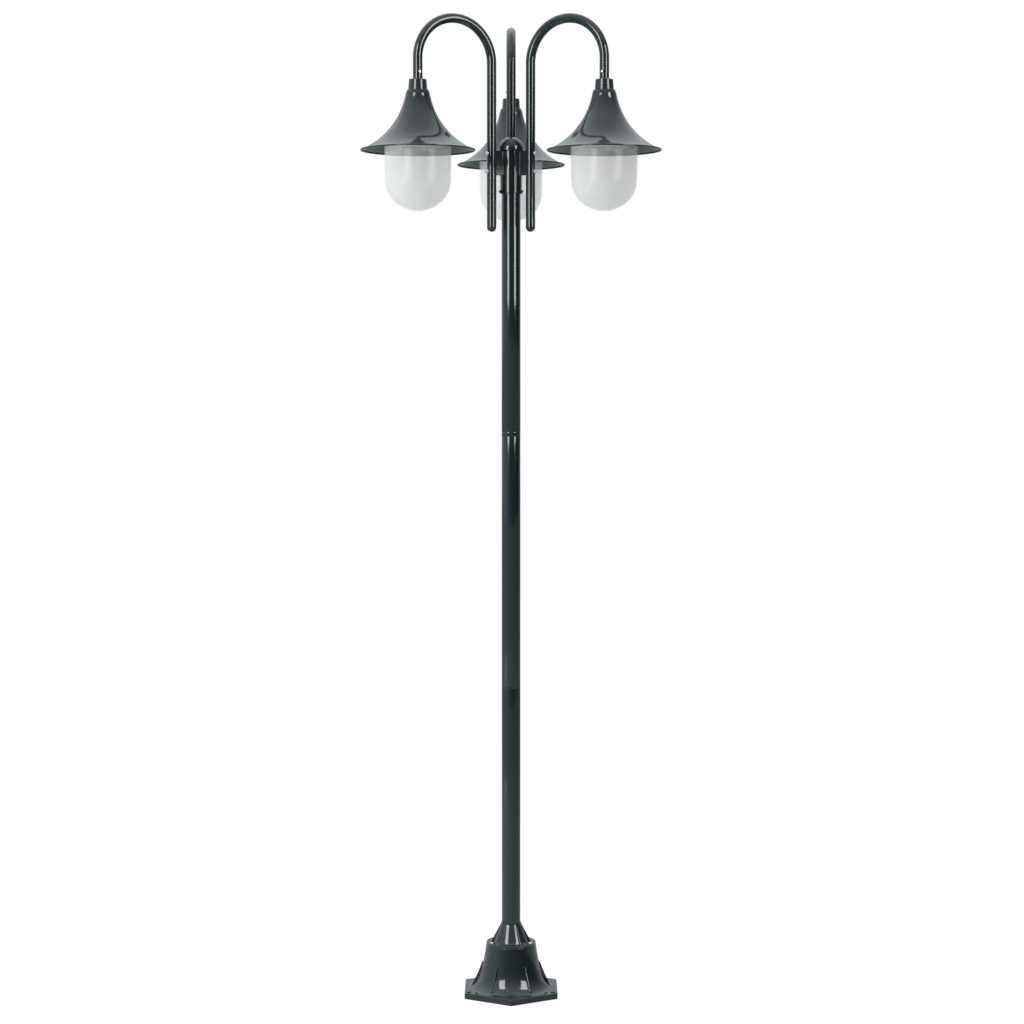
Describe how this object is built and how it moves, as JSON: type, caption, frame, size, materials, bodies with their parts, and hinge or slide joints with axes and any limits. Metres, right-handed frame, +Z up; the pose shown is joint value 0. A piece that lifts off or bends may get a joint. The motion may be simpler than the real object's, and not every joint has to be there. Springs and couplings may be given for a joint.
{
  "type": "street lamp post",
  "caption": "Free-standing garden lamp post: hexagonal bell foot, jointed round pole, swan-neck arms and hanging trumpet shades over clear cup globes.",
  "frame": {"origin": "centre of the foot plate's underside, on the pole's axis", "axes": "+Z up the pole; one arm points along +Y, the other two towards -Y on the left (-X) and right (+X)"},
  "size_m": [0.659, 0.6045, 2.1999],
  "materials": {
    "green_enamel": "gloss",
    "plug_enamel": "gloss",
    "bright_steel": "polished",
    "dark_screws": "satin",
    "zinc_steel": "satin",
    "white_plastic": "satin",
    "brass": "satin",
    "porcelain": "gloss",
    "white_enamel": "gloss",
    "gasket_rubber": "matte",
    "clear_globe": "gloss",
    "black_plastic": "satin",
    "cable_sheath": "matte"
  },
  "bodies": {
    "post": {"arm_end_plug_back": "plug_enamel", "arm_end_plug_left": "plug_enamel", "arm_end_plug_right": "plug_enamel", "arm_screws": "bright_steel", "arm_tube_back": "green_enamel", "arm_tube_left": "green_enamel", "arm_tube_right": "green_enamel", "arm_washers": "bright_steel", "base_casting": "green_enamel", "bracket_screws": "zinc_steel", "cable_gland": "black_plastic", "cable_joint": "cable_sheath", "earth_screw": "brass", "gland_nut": "black_plastic", "globe_carrier_back": "white_enamel", "globe_carrier_left": "white_enamel", "globe_carrier_right": "white_enamel", "holder_rings": "white_plastic", "hub_bracket": "green_enamel", "hub_cap": "green_enamel", "hub_set_screws": "dark_screws", "lamp_lead_back": "cable_sheath", "lamp_lead_left": "cable_sheath", "lamp_lead_right": "cable_sheath", "lamp_lock_screws": "bright_steel", "lampholder_back": "porcelain", "lampholder_left": "porcelain", "lampholder_right": "porcelain", "lock_nuts": "zinc_steel", "lower_coupler": "green_enamel", "lower_pole": "green_enamel", "middle_pole": "green_enamel", "neck_collar_back": "green_enamel", "neck_collar_left": "green_enamel", "neck_collar_right": "green_enamel", "pole_socket": "green_enamel", "screw_shell_back": "brass", "screw_shell_left": "brass", "screw_shell_right": "brass", "shade_back": "green_enamel", "shade_left": "green_enamel", "shade_right": "green_enamel", "socket_screws": "bright_steel", "stem_nipples": "zinc_steel", "supply_cable": "cable_sheath", "terminal_block": "white_plastic", "terminal_bracket": "zinc_steel", "upper_coupler": "green_enamel", "upper_pole": "green_enamel"},
    "left_gasket": {"globe_gasket_left": "gasket_rubber"},
    "left_globe": {"globe_left": "clear_globe"},
    "left_contact": {"centre_contact_left": "brass"},
    "right_gasket": {"globe_gasket_right": "gasket_rubber"},
    "right_globe": {"globe_right": "clear_globe"},
    "right_contact": {"centre_contact_right": "brass"},
    "back_gasket": {"globe_gasket_back": "gasket_rubber"},
    "back_globe": {"globe_back": "clear_globe"},
    "back_contact": {"centre_contact_back": "brass"}
  },
  "joints": [
    {"name": "left_globe_drop", "type": "slide", "parent": "post", "child": "left_gasket", "axis": [0, 0, 1], "range_m": [-0.12, 0]},
    {"name": "left_globe_twist", "type": "hinge", "parent": "left_gasket", "child": "left_globe", "pos_m": [-0.20352, -0.1175, 1.9175], "axis": [0, 0, 1], "range_deg": [0, 30]},
    {"name": "left_contact_press", "type": "slide", "parent": "post", "child": "left_contact", "axis": [0, 0, 1], "range_m": [0, 0.0015], "stiffness_N_per_m": 600},
    {"name": "right_globe_drop", "type": "slide", "parent": "post", "child": "right_gasket", "axis": [0, 0, 1], "range_m": [-0.12, 0]},
    {"name": "right_globe_twist", "type": "hinge", "parent": "right_gasket", "child": "right_globe", "pos_m": [0.20352, -0.1175, 1.9175], "axis": [0, 0, 1], "range_deg": [0, 30]},
    {"name": "right_contact_press", "type": "slide", "parent": "post", "child": "right_contact", "axis": [0, 0, 1], "range_m": [0, 0.0015], "stiffness_N_per_m": 600},
    {"name": "back_globe_drop", "type": "slide", "parent": "post", "child": "back_gasket", "axis": [0, 0, 1], "range_m": [-0.12, 0]},
    {"name": "back_globe_twist", "type": "hinge", "parent": "back_gasket", "child": "back_globe", "pos_m": [0, 0.235, 1.9175], "axis": [0, 0, 1], "range_deg": [0, 30]},
    {"name": "back_contact_press", "type": "slide", "parent": "post", "child": "back_contact", "axis": [0, 0, 1], "range_m": [0, 0.0015], "stiffness_N_per_m": 600}
  ]
}
